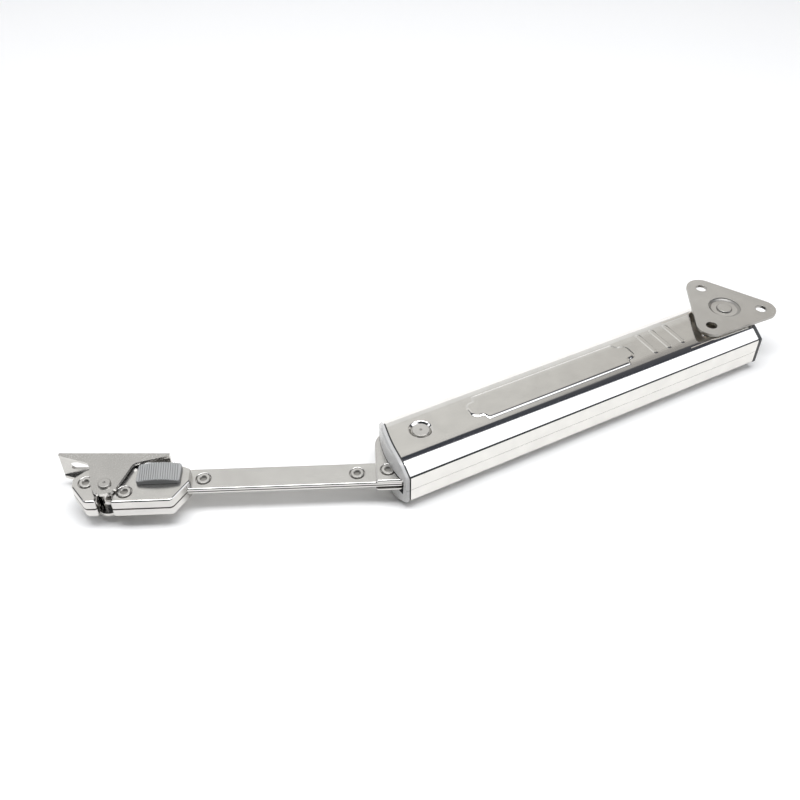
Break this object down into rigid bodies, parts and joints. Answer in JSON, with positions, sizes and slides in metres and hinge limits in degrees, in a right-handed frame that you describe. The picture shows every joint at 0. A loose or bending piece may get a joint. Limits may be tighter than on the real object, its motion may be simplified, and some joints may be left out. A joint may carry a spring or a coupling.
{
  "type": "lid stay",
  "caption": "Spring lid stay: pressed steel housing with cam lever and flat arm, clip-on head with release button, pivoting flap bracket and triangular cabinet plate.",
  "frame": {"origin": "centre of the cabinet plate's hole circle on its mounting face, which is also the plate's pivot axis", "axes": "+Z out of the plate's mounting face, along every pivot axis; +X along the flap bracket's web, from the bracket towards the cabinet plate; +Y out of the bracket's mounting face"},
  "size_m": [0.3449, 0.1495, 0.0262],
  "materials": {
    "satin_nickel": "satin nickel plate on pressed steel",
    "plated_steel": "satin nickel plate with polished edges",
    "bright_nickel": "bright nickel plate",
    "frame_steel": "plain cold-rolled steel, zinc plated",
    "hardened_steel": "hardened and ground",
    "spring_steel": "oiled spring steel",
    "grey_plastic": "light grey moulded plastic",
    "button_plastic": "mid grey moulded plastic, ribbed",
    "dark_plastic": "dark grey moulded plastic",
    "black_plastic": "black acetal"
  },
  "bodies": {
    "housing": {"upper_cover": "satin_nickel", "lower_cover": "satin_nickel", "front_cap": "grey_plastic", "rear_cap": "dark_plastic", "upper_frame": "frame_steel", "lower_frame": "frame_steel", "frame_rivets": "bright_nickel", "lever_pin": "bright_nickel", "pin_collars": "frame_steel", "lever_washers": "frame_steel", "spring_seat": "frame_steel", "main_springs": "spring_steel", "plate_rivet": "bright_nickel", "plate_spacer": "frame_steel"},
    "slider": {"slider": "frame_steel", "roller_axle": "hardened_steel", "guide_rods": "hardened_steel"},
    "roller": {"cam_roller": "hardened_steel"},
    "plate": {"mounting_plate": "plated_steel"},
    "lever": {"lever_cam": "hardened_steel", "cam_rivets": "bright_nickel", "lever_upper_plate": "plated_steel", "lever_lower_plate": "plated_steel", "lever_screw": "bright_nickel", "arm_upper_plate": "plated_steel", "arm_lower_plate": "plated_steel", "arm_screws": "bright_nickel", "head_upper_shell": "plated_steel", "head_lower_shell": "plated_steel", "head_screws": "bright_nickel", "catch_spring": "spring_steel"},
    "button": {"release_catch": "hardened_steel", "release_button": "button_plastic"},
    "bracket": {"flap_bracket": "plated_steel", "bracket_pin": "bright_nickel", "bracket_bush": "black_plastic"}
  },
  "joints": [
    {"name": "plate_pivot", "type": "hinge", "parent": "housing", "child": "plate", "pos_m": [0, 0, 0], "axis": [0, 0, 1], "continuous": true},
    {"name": "lever_pivot", "type": "hinge", "parent": "housing", "child": "lever", "pos_m": [-0.15827, -0.08869, -0.01425], "axis": [0, 0, 1], "range_deg": [-75, 0]},
    {"name": "slider_travel", "type": "slide", "parent": "housing", "child": "slider", "axis": [0.8805, 0.4741, 0], "range_m": [0, 0.008], "deforming": ["main_springs"]},
    {"name": "roller_spin", "type": "hinge", "parent": "slider", "child": "roller", "pos_m": [-0.1477, -0.083, -0.01425], "axis": [0, 0, 1], "continuous": true},
    {"name": "release_button", "type": "slide", "parent": "lever", "child": "button", "axis": [0.9988, 0.0488, 0], "range_m": [0, 0.003], "stiffness_N_per_m": 600, "springref_m": -0.003, "deforming": ["catch_spring"]},
    {"name": "bracket_pivot", "type": "hinge", "parent": "lever", "child": "bracket", "pos_m": [-0.29435, -0.11698, -0.01425], "axis": [0, 0, 1], "range_deg": [-2, 110]}
  ],
  "couplings": [
    {"joint": "slider_travel", "follows": "lever_pivot", "m_per_rad": -0.0061115}
  ]
}
